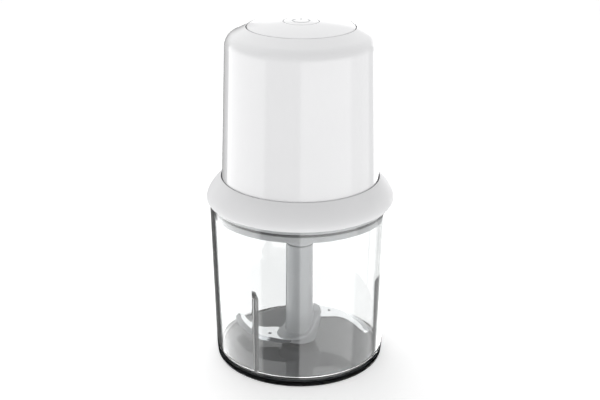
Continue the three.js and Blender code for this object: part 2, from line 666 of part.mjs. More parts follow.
const domeR = (BUTTON.r ** 2 + (BUTTON.domeZ - BUTTON.edgeZ) ** 2) / (2 * (BUTTON.domeZ - BUTTON.edgeZ));
const domeZ = (r) => BUTTON.domeZ - domeR + Math.sqrt(domeR ** 2 - r ** 2);
const recessR = BUTTON.badgeR + GAP;
const badgeTop = domeZ(BUTTON.badgeR);
add("button_cap", turn([
  [0, buttonUnder],
  [BUTTON.r - BUTTON.wall, buttonUnder],
  [BUTTON.r - BUTTON.wall, BUTTON.skirtZ],
  [BUTTON.r, BUTTON.skirtZ],
  [BUTTON.r, BUTTON.edgeZ - SHOULDER.edge],
  ...[BUTTON.r - SHOULDER.edge, 28, 20, recessR].map((r) => [r, domeZ(r)]),
  [recessR, badgeTop - BUTTON.recess],
  [0, badgeTop - BUTTON.recess],
], FINE), 0xf6f7f8, 0.22);
add("button_badge", turn([
  [0, badgeTop - BUTTON.recess + GAP],
  [BUTTON.badgeR, badgeTop - BUTTON.recess + GAP],
  [BUTTON.badgeR, badgeTop],
  [BUTTON.badgeR / 2, domeZ(BUTTON.badgeR / 2)],
  [0, BUTTON.domeZ],
]), 0xf0f1f2, 0.3);
add("button_stem", disc(BUTTON.stemR, BUTTON.skirtZ, buttonUnder - GAP, SMALL), 0xe2e3e4, 0.4);

export default object;
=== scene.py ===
from math import atan2, cos, degrees, hypot, pi, radians, sin, sqrt

import bmesh
import bpy
from mathutils import Matrix, Vector


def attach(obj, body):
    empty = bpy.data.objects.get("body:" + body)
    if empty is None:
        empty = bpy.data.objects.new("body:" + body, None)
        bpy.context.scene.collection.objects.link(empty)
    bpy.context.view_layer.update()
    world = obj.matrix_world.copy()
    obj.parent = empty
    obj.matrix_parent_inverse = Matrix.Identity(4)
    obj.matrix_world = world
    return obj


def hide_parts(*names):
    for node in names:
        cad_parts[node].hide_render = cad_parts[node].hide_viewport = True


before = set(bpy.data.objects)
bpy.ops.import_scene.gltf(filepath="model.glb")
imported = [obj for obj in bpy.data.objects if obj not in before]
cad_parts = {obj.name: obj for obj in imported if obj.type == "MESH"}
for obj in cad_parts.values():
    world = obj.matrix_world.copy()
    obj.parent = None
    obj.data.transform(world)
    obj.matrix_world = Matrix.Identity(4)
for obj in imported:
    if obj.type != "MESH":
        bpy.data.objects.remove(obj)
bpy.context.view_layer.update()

# ---- The bowl
# A clear SAN moulding that holds the food: a thick floor, a tapered wall and three upright
# ribs that stop the food turning round with the blades. It is injected in one piece.

MM = 0.001
FINE = 192  # steps round the large turned shapes
MIDDLING = 96  # steps round the shaft, the gears' cases and the like
SMALL = 48  # steps round the screws and pins


def linear(hex_colour):
    """An sRGB hex colour as the linear colour that a shader takes."""
    parts = [int(hex_colour[i:i + 2], 16) / 255 for i in (1, 3, 5)]
    return [c / 12.92 if c <= 0.04045 else ((c + 0.055) / 1.055) ** 2.4 for c in parts] + [1]


def node(tree, kind, links=None, stops=None, **settings):
    """Adds a shader node. links gives each socket a value or the socket that feeds it."""
    made = tree.nodes.new("ShaderNode" + kind)
    for name, value in settings.items():
        setattr(made, name, value)
    for name, value in (links or {}).items():
        if isinstance(value, bpy.types.NodeSocket):
            tree.links.new(value, made.inputs[name])
        else:
            made.inputs[name].default_value = value
    if stops:
        ramp = made.color_ramp.elements
        while len(ramp) < len(stops):
            ramp.new(1)
        for element, (place, colour) in zip(ramp, stops):
            element.position = place
            element.color = colour
    return made


def finish(name, **sockets):
    """A new material: its node tree, its shader with these values, and its place on the object."""
    made = bpy.data.materials.new(name)
    made.use_nodes = True
    tree = made.node_tree
    shader = tree.nodes["Principled BSDF"]
    for socket, value in sockets.items():
        shader.inputs[socket.replace("_", " ")].default_value = value
    place = node(tree, "TexCoord").outputs["Object"]
    return made, tree, shader, place


def outline(points):
    """A flat wire of (radius, height, rounding) points in mm, with its corners rounded."""
    bm = bmesh.new()
    corners = [bm.verts.new((point[0] * MM, 0, point[1] * MM)) for point in points]
    for one, other in zip(corners, corners[1:]):
        bm.edges.new((one, other))
    on_axis = points[0][0] == 0 and points[-1][0] == 0
    if not on_axis:
        bm.edges.new((corners[-1], corners[0]))
    for corner, point in zip(corners, points):
        if len(point) > 2:
            bmesh.ops.bevel(bm, geom=[corner], offset=point[2] * MM, offset_type="OFFSET",
                            segments=4, profile=0.5, affect="VERTICES", material=-1)
    return bm


def spun(points, steps=FINE):
    """The outline turned once round the Z axis, as one closed body."""
    bm = outline(points)
    bmesh.ops.spin(bm, geom=bm.verts[:] + bm.edges[:], cent=(0, 0, 0), axis=(0, 0, 1),
                   angle=2 * pi, steps=steps, use_merge=True)
    bmesh.ops.remove_doubles(bm, verts=bm.verts, dist=1e-6)
    bmesh.ops.recalc_face_normals(bm, faces=bm.faces)
    return bm


def combined(bm, tool, how):
    """Joins a second closed body to the first, or cuts it away."""
    pair = []
    for each in (bm, tool):
        mesh = bpy.data.meshes.new("stock")
        each.to_mesh(mesh)
        each.free()
        pair.append(bpy.data.objects.new("stock", mesh))
        bpy.context.collection.objects.link(pair[-1])
    step = pair[0].modifiers.new("join", "BOOLEAN")
    step.object = pair[1]
    step.operation = how
    step.solver = "EXACT"
    bpy.context.view_layer.update()
    result = bmesh.new()
    result.from_object(pair[0], bpy.context.evaluated_depsgraph_get())
    for each in pair:
        mesh = each.data
        bpy.data.objects.remove(each)
        bpy.data.meshes.remove(mesh)
    return result


def block(width, depth, height, middle=(0, 0, 0)):
    """A box of a size in mm, round a point in mm."""
    bm = bmesh.new()
    bmesh.ops.create_cube(bm, size=1)
    bmesh.ops.scale(bm, verts=bm.verts, vec=(width * MM, depth * MM, height * MM))
    bmesh.ops.translate(bm, verts=bm.verts, vec=[c * MM for c in middle])
    return bm


def placed(bm, angle, radius, height=0):
    """Moves a shape from the middle out to an angle in degrees, a radius and a height in mm."""
    spot = Matrix.Rotation(radians(angle), 4, "Z") @ Matrix.Translation((radius * MM, 0, height * MM))
    bmesh.ops.transform(bm, matrix=spot, verts=bm.verts)
    return bm


def piece(name, bm, material, body, slot, *replaced, sharp=35):
    """Makes the mesh a piece: shaded round up to a sharp angle, and riding on its body."""
    mesh = bpy.data.meshes.new(name)
    bm.to_mesh(mesh)
    bm.free()
    mesh.shade_smooth()
    mesh.set_sharp_from_angle(angle=radians(sharp))
    mesh.materials.append(material)
    made = bpy.data.objects.new(name, mesh)
    bpy.context.collection.objects.link(made)
    even = made.modifiers.new("even shading", "WEIGHTED_NORMAL")
    even.keep_sharp = True
    even.weight = 100
    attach(made, body)
    if replaced:
        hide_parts(*replaced)
    return made


def arc(centre_r, centre_z, r, start, end, steps):
    """Points of a round stretch of an outline, from one angle to another in degrees."""
    angles = [radians(start + (end - start) * i / steps) for i in range(steps + 1)]
    return [(centre_r + r * cos(a), centre_z + r * sin(a)) for a in angles]


# Clear SAN, polished in the mould: sharp reflections, hard dark lines where the wall turns
# away, and a breath of cloudiness from the flow of the melt.
clear_san, tree, shader, place = finish(
    "clear SAN, moulded", Base_Color=linear("#FCFDFD"), Transmission_Weight=1, IOR=1.57)
CLOUD_SIZE = 22
cloud = node(tree, "TexNoise", {"Vector": place, "Scale": 1 / (CLOUD_SIZE * MM), "Detail": 3})
haze = node(tree, "MapRange", {"Value": cloud.outputs["Fac"], "To Min": 0.0, "To Max": 0.02})
tree.links.new(haze.outputs["Result"], shader.inputs["Roughness"])

RIM_Z = 115.6
RIM_R = 62.05
KNEE_R = 59.3
KNEE_Z = 7
WALL = 2.6
FOOT_R = 58.8
FLOOR_TOP = 4.6
FLOOR_UNDER = 2.6
FILLET = 4
RING_SEAT = 57
RIB_ANGLES = (-121, -19.5, 95)
RIB_INNER = 54.3
RIB_THICK = 2.8
RIB_TOPS = (61, 69.5)
RIB_BURIED = 1.2  # how far a rib reaches into the wall


def bowl_inside(z):
    """The radius of the wall's inner face at a height."""
    return KNEE_R + (RIM_R - KNEE_R) * (z - KNEE_Z) / (RIM_Z - KNEE_Z) - WALL


fillet_r = bowl_inside(FLOOR_TOP + FILLET)
bowl = spun([
    (0, FLOOR_UNDER), (RING_SEAT, FLOOR_UNDER, 0.3), (RING_SEAT, 0.3, 0.4), (FOOT_R, 0.3, 0.6),
    (FOOT_R, 2.2, 0.8), (KNEE_R, KNEE_Z - 2, 1.5), (RIM_R, RIM_Z, 1.0), (RIM_R - WALL, RIM_Z, 0.8),
    *arc(fillet_r - FILLET, FLOOR_TOP + FILLET, FILLET, 0, -90, 10),
    (7.5, FLOOR_TOP, 0.8), (6, 6.8, 0.5), (3.4, 6.8, 0.3), (3.4, 3.9), (0, 3.9),
])
for angle in RIB_ANGLES:
    rib = bmesh.new()
    sides = [(RIB_INNER, 3.6), (bowl_inside(3.6) + RIB_BURIED, 3.6), (bowl_inside(8) + RIB_BURIED, 8),
             (bowl_inside(RIB_TOPS[1]) + RIB_BURIED, RIB_TOPS[1] + RIB_BURIED), (RIB_INNER, RIB_TOPS[0])]
    face = rib.faces.new([rib.verts.new((r * MM, -RIB_THICK / 2 * MM, z * MM)) for r, z in sides])
    push = bmesh.ops.extrude_face_region(rib, geom=[face])
    moved = [v for v in push["geom"] if isinstance(v, bmesh.types.BMVert)]
    bmesh.ops.translate(rib, verts=moved, vec=(0, RIB_THICK * MM, 0))
    inner = [e for e in rib.edges if all(v.co.x < (RIB_INNER + 0.1) * MM for v in e.verts)]
    bmesh.ops.bevel(rib, geom=inner, offset=0.6 * MM, offset_type="OFFSET", segments=3,
                    profile=0.5, affect="EDGES", material=-1)
    bmesh.ops.recalc_face_normals(rib, faces=rib.faces)
    bmesh.ops.rotate(rib, verts=rib.verts, cent=(0, 0, 0), matrix=Matrix.Rotation(radians(angle), 3, "Z"))
    bowl = combined(bowl, rib, "UNION")
bowl_object = piece("bowl_moulding", bowl, clear_san, "bowl", "clear_plastic", "bowl", sharp=28)
# The ribs are tinted dark. The tint stands in for dark reflections that this studio doesn't give.
rib_san = clear_san.copy()
rib_san.name = "clear SAN, tinted ribs"
rib_san.node_tree.nodes["Principled BSDF"].inputs["Base Color"].default_value = linear("#050606")
bowl_object.data.materials.append(rib_san)
for angle in RIB_ANGLES:
    across = Vector((-sin(radians(angle)), cos(radians(angle)), 0))
    outward = Vector((cos(radians(angle)), sin(radians(angle)), 0))
    for face in bowl_object.data.polygons:
        centre = face.center / MM
        reach = centre.dot(outward)
        clear_of_wall = 50 < reach < bowl_inside(centre.z) - 0.1
        if clear_of_wall and abs(centre.dot(across)) < RIB_THICK / 2 + 0.05 and 5 < centre.z < 72:
            face.material_index = 1

# ---- The base pad and anti-slip ring
# A grey pad is stuck under the bowl's floor, and a black TPE ring grips the worktop round it.
# Both lie inside the bowl's foot and show through the clear floor.

PAD_R = 53.1
RING_INNER_R = 53.4
BOND = 0.04  # how far the bonded pieces bite into the clear floor, so that no air shows between


def moulded(name, dark, light, roughness, grain, depth, blotch=25, **sockets):
    """A moulded plastic or rubber: a tint that drifts slightly and a fine grain in the gloss."""
    made, tree, shader, place = finish(name, **sockets)
    drift = node(tree, "TexNoise", {"Vector": place, "Scale": 1 / (blotch * MM), "Detail": 2})
    tint = node(tree, "ValToRGB", {"Fac": drift.outputs["Fac"]},
                stops=[(0.35, linear(dark)), (0.65, linear(light))])
    tree.links.new(tint.outputs["Color"], shader.inputs["Base Color"])
    fine = node(tree, "TexNoise", {"Vector": place, "Scale": 1 / (grain * MM), "Detail": 3})
    gloss = node(tree, "MapRange", {
        "Value": fine.outputs["Fac"], "To Min": roughness * 0.85, "To Max": roughness * 1.15})
    tree.links.new(gloss.outputs["Result"], shader.inputs["Roughness"])
    relief = node(tree, "Bump", {"Height": fine.outputs["Fac"], "Distance": depth * MM})
    tree.links.new(relief.outputs["Normal"], shader.inputs["Normal"])
    return made


# Black TPE is soft and matt, with the grain of the spark-eroded mould.
black_tpe = moulded("black TPE, moulded", "#0E0F10", "#141516", 0.62, 0.5, 0.02, IOR=1.5,
                    Specular_IOR_Level=0.12)
# The pad is grey polypropylene with a satin face.
grey_pp = moulded("grey polypropylene, moulded", "#6A6C6F", "#707275", 0.42, 0.6, 0.01, IOR=1.49,
                  Specular_IOR_Level=0.12)

piece("grip_ring", spun([
    (RING_INNER_R, 0, 0.4), (56.4, 0, 0.5), (RING_SEAT + BOND, 0.9, 0.2),
    (RING_SEAT + BOND, FLOOR_UNDER + BOND), (RING_INNER_R, FLOOR_UNDER + BOND),
]), black_tpe, "bowl", "black_rubber", "anti_slip_ring")
piece("bottom_pad", spun([
    (0, 0.6), (PAD_R, 0.6, 0.3), (PAD_R, FLOOR_UNDER + BOND), (0, FLOOR_UNDER + BOND),
]), grey_pp, "bowl", "grey_rubber", "base_pad")

# ---- The pivot pin and its bush
# A stainless pin is moulded into the bowl's boss, and the blade unit turns round it on a
# plain nylon bush.


def turned_metal(name, colour, roughness, pitch, depth):
    """Metal from a lathe or a grinder: fine rings round Z that catch the light as a soft band."""
    made, tree, shader, place = finish(
        name, Base_Color=linear(colour), Metallic=1, Anisotropic=0.4)
    squeeze = node(tree, "Mapping", {"Vector": place, "Scale": (0.05, 0.05, 1)})
    lines = node(tree, "TexNoise", {
        "Vector": squeeze.outputs["Vector"], "Scale": 1 / (pitch * MM), "Detail": 4})
    gloss = node(tree, "MapRange", {
        "Value": lines.outputs["Fac"], "To Min": roughness * 0.7, "To Max": roughness * 1.3})
    tree.links.new(gloss.outputs["Result"], shader.inputs["Roughness"])
    relief = node(tree, "Bump", {"Height": lines.outputs["Fac"], "Distance": depth * MM})
    tree.links.new(relief.outputs["Normal"], shader.inputs["Normal"])
    return made


# Turned stainless steel: neutral grey, with tool rings 0.4 mm apart.
turned_steel = turned_metal("stainless steel, turned", "#B9BBBD", 0.22, 0.4, 0.006)
# Nylon is off-white, waxy and a little translucent.
nylon = moulded("nylon, moulded", "#DEDBD0", "#E6E3DA", 0.4, 0.8, 0.01, IOR=1.53)

piece("blade_pin", spun([
    (0, 4.2), (3.1, 4.2, 0.2), (3.1, 52, 1.2), (0, 52),
], SMALL), turned_steel, "bowl", "plain_steel", "pivot_pin")
piece("bush_sleeve", spun([
    (3.45, 8, 0.3), (5.95, 8, 0.4), (5.95, 46, 0.4), (3.45, 46, 0.3),
], SMALL), nylon, "pivot_bush", "nylon", "pivot_bush")

# ---- The blade shaft
# A moulded tube of pale grey ABS that slips over the pin. Its foot is a ramp that carries one
# blade low and the other high, and its top holds the socket for the drive.

SHAFT_TOP_R = 9.55
SHAFT_FOOT_R = 9.95
SHAFT_TOP = 82.2
FOOT_BODY_R = 12.8
FOOT_LOBE = 5.8
LOBE_ANGLE = 45
LOBE_SPAN = 75
FOOT_BOTTOM = 7.7
RAMP_LOW = 14.6
RAMP_HIGH = 27.6
CLIMB_START = 282  # angles of the ramp in degrees
CLIMB_SPAN = 88
FALL_START = 95
FALL_END = 165
RAMP_HINGE = 10.5  # below this height the foot is plain and round

# Grey ABS, semi-gloss: soft reflections and a smooth moulded face.
grey_abs = moulded("grey ABS, moulded", "#B4B6B8", "#B9BBBD", 0.16, 0.8, 0.004, IOR=1.53)


def smooth_step(t):
    t = min(1, max(0, t))
    return t * t * (3 - 2 * t)


def foot_swell(angle):
    """How far the foot stands out at an angle, to hold the blades' roots."""
    off = min(abs((angle - LOBE_ANGLE - side + 180) % 360 - 180) for side in (0, 180))
    return FOOT_LOBE * cos(radians(off * 90 / LOBE_SPAN)) ** 2 if off < LOBE_SPAN else 0


def ramp_top(angle):
    """The height of the ramp: a climb round the front, a level stretch and a fall behind."""
    a = angle % 360
    if a > 180:
        climb = (a - CLIMB_START) / CLIMB_SPAN
    elif a < CLIMB_START + CLIMB_SPAN - 360:
        climb = (a + (360 - CLIMB_START)) / CLIMB_SPAN
    else:
        climb = 1 if a < FALL_START else (FALL_END - a) / (FALL_END - FALL_START)
    return RAMP_LOW + (RAMP_HIGH - RAMP_LOW) * smooth_step(climb)


shaft = spun([
    (0, 60), (6.3, 60, 0.4), (6.3, FOOT_BOTTOM, 0.4), (FOOT_BODY_R, FOOT_BOTTOM, 1.4),
    (FOOT_BODY_R, 10.5), (FOOT_BODY_R, 11.5), (FOOT_BODY_R, 13), (FOOT_BODY_R, RAMP_LOW, 1.3),
    (SHAFT_FOOT_R, RAMP_LOW, 0.8), (SHAFT_FOOT_R - 0.05, 30), (SHAFT_TOP_R, SHAFT_TOP, 0.6),
    (6.4, SHAFT_TOP, 0.4), (6.4, 66.3), (0, 66.3),
], 144)
for vert in shaft.verts:
    r = hypot(vert.co.x, vert.co.y) / MM
    z = vert.co.z / MM
    angle = degrees(atan2(vert.co.y, vert.co.x))
    if r > SHAFT_FOOT_R - 0.2 and RAMP_HINGE < z < 20:
        top = ramp_top(angle)
        low_side = top < (RAMP_LOW + RAMP_HIGH) / 2
        share = (z - RAMP_HINGE) / (RAMP_LOW - RAMP_HINGE)
        vert.co.z = (RAMP_HINGE + share * (top - RAMP_HINGE)) * MM
        if r > SHAFT_FOOT_R + 1:
            swell = foot_swell(angle) * smooth_step(share * 2.2)
            vert.co.x *= (r + swell) / r
            vert.co.y *= (r + swell) / r
piece("shaft_moulding", shaft, grey_abs, "blade_unit", "white_satin", "blade_shaft", sharp=40)

# ---- The blades
# Two sickles stamped from 1.3 mm stainless sheet, ground on the outer edge only. Each leads
# with its convex edge, and is pinned through a small hole in the foot's slot.

BLADE_THICK = 1.3
EDGE_THICK = 0.12
GRIND_WIDTH = 4.6
BLADE_TOPS = {"high": 25.4, "low": 13.6}
BLADE_HOLE = (21.2, 6.6)
CUTTING_EDGE = [(5.6, 15.8), (8, 18.6), (20, 16.8), (29.5, 12.3), (37.4, 3.2), (43.4, -6),
                (46.2, -12.8), (48, -20.2), (47.4, -23)]
BACK_EDGE = [(15.5, -3.1), (20, -3), (25.5, -2.7), (30, -4.4), (34, -7.6), (38.3, -14), (41, -20),
             (43.2, -23.9), (45.6, -24.4)]
SECTIONS = 48

# Polished stainless: near mirror, with grinding lines along the sheet.
blade_steel, tree, shader, place = finish(
    "stainless steel, polished", Base_Color=linear("#E6E7E8"), Metallic=1, Anisotropic=0.3)
GRIND_PITCH = 0.5
stretch = node(tree, "Mapping", {"Vector": place, "Scale": (0.08, 1, 1)})
scratch = node(tree, "TexNoise", {
    "Vector": stretch.outputs["Vector"], "Scale": 1 / (GRIND_PITCH * MM), "Detail": 4})
gloss = node(tree, "MapRange", {"Value": scratch.outputs["Fac"], "To Min": 0.06, "To Max": 0.14})
tree.links.new(gloss.outputs["Result"], shader.inputs["Roughness"])
relief = node(tree, "Bump", {"Height": scratch.outputs["Fac"], "Distance": 0.002 * MM})
tree.links.new(relief.outputs["Normal"], shader.inputs["Normal"])
# The cutting bevel is ground, but here it is a copy of the polished steel that differs only in a darker
# colour: a painted dark reflection.
ground_bevel_painted_dark = blade_steel.copy()
ground_bevel_painted_dark.name = "stainless steel, ground bevel, painted dark"
ground_bevel_shader_painted_dark = ground_bevel_painted_dark.node_tree.nodes["Principled BSDF"]
ground_bevel_shader_painted_dark.inputs["Base Color"].default_value = linear("#77797B")


def along(points, share):
    """A smooth curve through the points: where it is after a share of its steps."""
    whole = share * (len(points) - 1)
    i = min(int(whole), len(points) - 2)
    t = whole - i
    a, b, c, d = (Vector(points[min(max(i + k, 0), len(points) - 1)]) for k in (-1, 0, 1, 2))
    return (2 * b + (c - a) * t + (2 * a - 5 * b + 4 * c - d) * t ** 2
            + (3 * b - a - 3 * c + d) * t ** 3) / 2


def sickle(top):
    """One blade lofted from root to tip through slices with a ground outer edge."""
    bm = bmesh.new()
    loops = []
    for i in range(SECTIONS + 1):
        t = i / SECTIONS
        edge = along(CUTTING_EDGE, t)
        back = along(BACK_EDGE, t)
        width = GRIND_WIDTH * smooth_step(t * 4) * (1 - 0.6 * smooth_step((t - 0.8) * 5))
        land = edge + (back - edge) * min(0.8, (0.2 + width) / (back - edge).length)
        low = top - BLADE_THICK
        slices = [(back, top), (land, top), (edge, low + EDGE_THICK), (edge, low), (back, low)]
        corners = [bm.verts.new((p.x * MM, p.y * MM, z * MM)) for p, z in slices]
        loops.append([bm.edges.new((corners[k - 1], corners[k])) for k in range(len(corners))])
    for one, other in zip(loops, loops[1:]):
        bmesh.ops.bridge_loops(bm, edges=one + other)
    for end in (loops[0], loops[-1]):
        bmesh.ops.contextual_create(bm, geom=end)
    bmesh.ops.recalc_face_normals(bm, faces=bm.faces)
    return bm


for level, half_turn in (("high", 0), ("low", pi)):
    top = BLADE_TOPS[level]
    blade = sickle(top)
    drill = bmesh.new()
    bmesh.ops.create_cone(drill, cap_ends=True, segments=32, radius1=1.3 * MM, radius2=1.3 * MM,
                          depth=6 * MM)
    bmesh.ops.translate(drill, verts=drill.verts, vec=(BLADE_HOLE[0] * MM, BLADE_HOLE[1] * MM, top * MM))
    blade = combined(blade, drill, "DIFFERENCE")
    turn = Matrix.Rotation(half_turn, 3, "Z")
    bmesh.ops.rotate(blade, verts=blade.verts, cent=(0, 0, 0), matrix=turn)
    blade_object = piece(
        f"{level}_sickle", blade, blade_steel, "blade_unit", "blade_steel", f"blade_{level}", sharp=8)
    # The sloping bevel faces take the steel with the painted dark reflection.
    blade_object.data.materials.append(ground_bevel_painted_dark)
    for face in blade_object.data.polygons:
        if 0.2 < face.normal.z < 0.995:
            face.material_index = 1

# ---- The lid
# A disc with a deep skirt that fills the bowl's mouth, and a neck that guides the blade shaft.
# A satin collar is clipped round it. A rubber seal sits in the skirt, another in the neck.

LID_UNDER = 116
LID_TOP = 118.4
SKIRT_R = 58.9
SKIRT_WALL = 2.2
SKIRT_Z = 106.9
FLANGE_R = 59.6
LID_BORE_R = 7.4
COLLAR_BORE_R = 59.9
NECK_Z = 82.7
SEAL_Z = 111.8
COLLAR_R = 64.2
COLLAR_TOP = (54.2, 132.7)
COLLAR_PULL = 123
COLLAR_WIDEST = 117.4

# White ABS with a satin face: light spreads softly over it and it shows no sharp reflection.
satin_abs = moulded("white ABS, satin", "#E9E9EA", "#ECECED", 0.55, 0.45, 0.012, IOR=1.53)
# The disc is the shaft's grey, a shade lighter.
lid_abs = moulded("pale grey ABS, moulded", "#BFC0C2", "#C4C5C7", 0.2, 0.8, 0.004, IOR=1.53)
# Grey silicone: dark, matt and faintly dusty.
silicone = moulded("grey silicone, moulded", "#3C3E40", "#434547", 0.55, 0.4, 0.01, IOR=1.43)


def collar_curve(inset, steps):
    """The collar's swept outside, or its inside at an inset, as a three-point curve."""
    start = Vector((COLLAR_R - inset, COLLAR_WIDEST))
    pull = Vector((COLLAR_R - inset, COLLAR_PULL - inset / 2))
    end = Vector((COLLAR_TOP[0] + inset / 8, COLLAR_TOP[1] - inset * 1.1))
    shares = [i / steps for i in range(steps + 1)]
    return [tuple(start * (1 - t) ** 2 + pull * 2 * t * (1 - t) + end * t * t) for t in shares]


piece("collar_ring", spun([
    (COLLAR_BORE_R, 115.95, 0.3), (COLLAR_R - 0.2, 115.95, 0.9), *collar_curve(0, 16)[1:],
    *reversed(collar_curve(2.2, 8)), (COLLAR_R - 2.2, LID_TOP), (COLLAR_BORE_R, LID_TOP, 0.3),
]), satin_abs, "lid", "white_satin", "lid_collar")
groove = (SEAL_Z - 0.9, SEAL_Z + 0.9)
piece("lid_disc", spun([
    (LID_BORE_R, NECK_Z, 0.3), (SHAFT_TOP_R, NECK_Z, 0.5), (SHAFT_TOP_R + 0.2, 112),
    *arc(13.2, 112.6, 3.4, 180, 90, 6), (SKIRT_R - SKIRT_WALL, LID_UNDER, 0.8),
    (SKIRT_R - SKIRT_WALL, SKIRT_Z, 0.5), (SKIRT_R, SKIRT_Z, 0.6), (SKIRT_R, groove[0], 0.1),
    (SKIRT_R - 1.2, groove[0]), (SKIRT_R - 1.2, groove[1]), (SKIRT_R, groove[1], 0.1),
    (SKIRT_R, LID_UNDER, 0.2), (FLANGE_R, LID_UNDER, 0.2), (FLANGE_R, LID_TOP, 0.4),
    (LID_BORE_R, LID_TOP, 0.4),
]), lid_abs, "lid", "white_gloss", "lid_plate")
piece("skirt_seal", spun([
    (58, 111.2, 0.2), (59.1, 111.2, 0.35), (59.1, 112.4, 0.35), (58, 112.4, 0.2),
]), silicone, "lid", "grey_rubber", "lid_seal")
piece("neck_lip_seal", spun([
    (6, 84, 0.3), (7.1, 84, 0.2), (7.1, 86.5, 0.2), (6, 86.5, 0.3),
], SMALL), silicone, "lid", "grey_rubber", "neck_seal")

# ---- The motor head's housing and base
# One deep gloss ABS shell over the motor. Its shoulder rolls in to the button, its foot drops
# inside the collar, and three bosses take the screws through the ventilated base.

HEAD_BOTTOM = 118.9
HEAD_LOW_R = 53.94
HEAD_HIGH_R = 50.29
HEAD_HIGH_Z = 221.95
HEAD_WALL = 2.4
SHOULDER_R = 9.67
SHOULDER_ANGLE = 68.2
SEAM_R = 36.1
SEAM_Z = 234.85
GUIDE_Z = 224
GLAND_Z = 142
SCREW_RING = 48
SCREW_ANGLES = (30, 150, 270)

# White ABS from a polished mould: a clear reflection of the room over a pure white body.
gloss_abs = moulded("white ABS, polished", "#EDEDEE", "#EFEFF0", 0.1, 1.2, 0.001, 60, IOR=1.54)


def head_side(inset, steps):
    """The wall and shoulder at an inset from the outside, upwards."""
    shoulder = arc(HEAD_HIGH_R - SHOULDER_R, HEAD_HIGH_Z, SHOULDER_R - inset, 0, SHOULDER_ANGLE, steps)
    return [(HEAD_LOW_R - inset, HEAD_BOTTOM), *shoulder]


housing = spun([
    *head_side(0, 20), (SEAM_R + 0.1, SEAM_Z, 0.35), (SEAM_R, GUIDE_Z), (SEAM_R + HEAD_WALL, GUIDE_Z),
    (SEAM_R + HEAD_WALL, 231), *reversed(head_side(HEAD_WALL, 8)),
])
for angle in SCREW_ANGLES:
    post = spun([(1.6, 122.3), (3.8, 122.3), (3.8, 138), (1.6, 138)], 32)
    housing = combined(housing, placed(post, angle, SCREW_RING), "UNION")
hole = bmesh.new()
bmesh.ops.create_cone(hole, cap_ends=True, segments=48, radius1=5.3 * MM, radius2=5.3 * MM, depth=20 * MM)
bmesh.ops.rotate(hole, verts=hole.verts, cent=(0, 0, 0), matrix=Matrix.Rotation(pi / 2, 3, "X"))
bmesh.ops.translate(hole, verts=hole.verts, vec=(0, 50 * MM, GLAND_Z * MM))
housing = combined(housing, hole, "DIFFERENCE")
piece("head_housing", housing, gloss_abs, "motor_head", "white_gloss", "motor_housing", sharp=30)

# ---- The button
# The head's whole top: a shallow gloss dome that slides down in the housing. A flush badge
# sits in its middle, with a plain power sign let into it. Its stem presses the switch.

BUTTON_R = 35.5
BUTTON_EDGE = 234.9
DOME_Z = 238.5
BADGE_R = 11.5
BADGE_GAP = 0.6
dome_r = (BUTTON_R ** 2 + (DOME_Z - BUTTON_EDGE) ** 2) / (2 * (DOME_Z - BUTTON_EDGE))


def dome(r):
    """The height of the dome at a radius."""
    return DOME_Z - dome_r + sqrt(dome_r ** 2 - r ** 2)


def dome_points(outer, inner, steps):
    """The dome's outline from one radius in to another."""
    radii = [outer + (inner - outer) * i / steps for i in range(steps + 1)]
    return [(r, dome(r)) for r in radii]


button_under = BUTTON_EDGE - 3.1
recess_r = BADGE_R + BADGE_GAP
piece("button_dome", spun([
    (0, button_under), (33.1, button_under), (33.1, 226, 0.4), (BUTTON_R, 226, 0.4),
    (BUTTON_R, BUTTON_EDGE, 0.5), *dome_points(35, recess_r + 0.5, 12), (recess_r, dome(recess_r), 0.15),
    (recess_r, dome(BADGE_R) - 1.1), (0, dome(BADGE_R) - 1.1),
]), gloss_abs, "button", "white_gloss", "button_cap")
badge = spun([
    (0, dome(BADGE_R) - 0.8), (BADGE_R, dome(BADGE_R) - 0.8), (BADGE_R, dome(BADGE_R), 0.15),
    *dome_points(BADGE_R - 0.6, 0, 8),
], MIDDLING)
# The power sign: three quarters of a ring and an upright bar, engraved
SIGN_R = 5.6
SIGN_LINE = 1.1
SIGN_DEPTH = 0.35
SIGN_GAP = 35  # degrees left open either side of the bar
sign_low = DOME_Z - SIGN_DEPTH
SIGN_SIDES = (SIGN_R - SIGN_LINE / 2, SIGN_R + SIGN_LINE / 2)
groove = bmesh.new()
strip = [groove.verts.new((0, r * MM, z * MM)) for r, z in (
    (SIGN_SIDES[0], sign_low), (SIGN_SIDES[1], sign_low),
    (SIGN_SIDES[1], DOME_Z + 1), (SIGN_SIDES[0], DOME_Z + 1))]
face = groove.faces.new(strip)
start = Matrix.Rotation(radians(SIGN_GAP), 3, "Z")
bmesh.ops.rotate(groove, verts=groove.verts, cent=(0, 0, 0), matrix=start)
bmesh.ops.spin(groove, geom=[face], cent=(0, 0, 0), axis=(0, 0, 1),
               angle=2 * pi - radians(2 * SIGN_GAP), steps=40)
bmesh.ops.recalc_face_normals(groove, faces=groove.faces)
badge = combined(badge, groove, "DIFFERENCE")
bar = block(SIGN_LINE, 5, 2, (0, 4.4, sign_low + 1))
badge = combined(badge, bar, "DIFFERENCE")
badge_object = piece("badge_disc", badge, gloss_abs, "button", "white_gloss", "button_badge")
badge_object.data.materials.append(grey_abs)  # the engraving is filled with grey
for face in badge_object.data.polygons:
    r = hypot(face.center.x, face.center.y)
    if abs(face.center.z - sign_low * MM) < 0.02 * MM and r < 9 * MM:
        face.material_index = 1
piece("stem_post", spun([
    (0, 226), (5, 226, 0.6), (5, button_under - 0.3, 0.2), (0, button_under - 0.3),
], SMALL), satin_abs, "button", "white_satin", "button_stem")

# ---- The head's base, screws and cord gland
# A ventilated plate closes the housing from below. Three screws hold it to the bosses, and a
# moulded gland at the back guides the mains cord in.

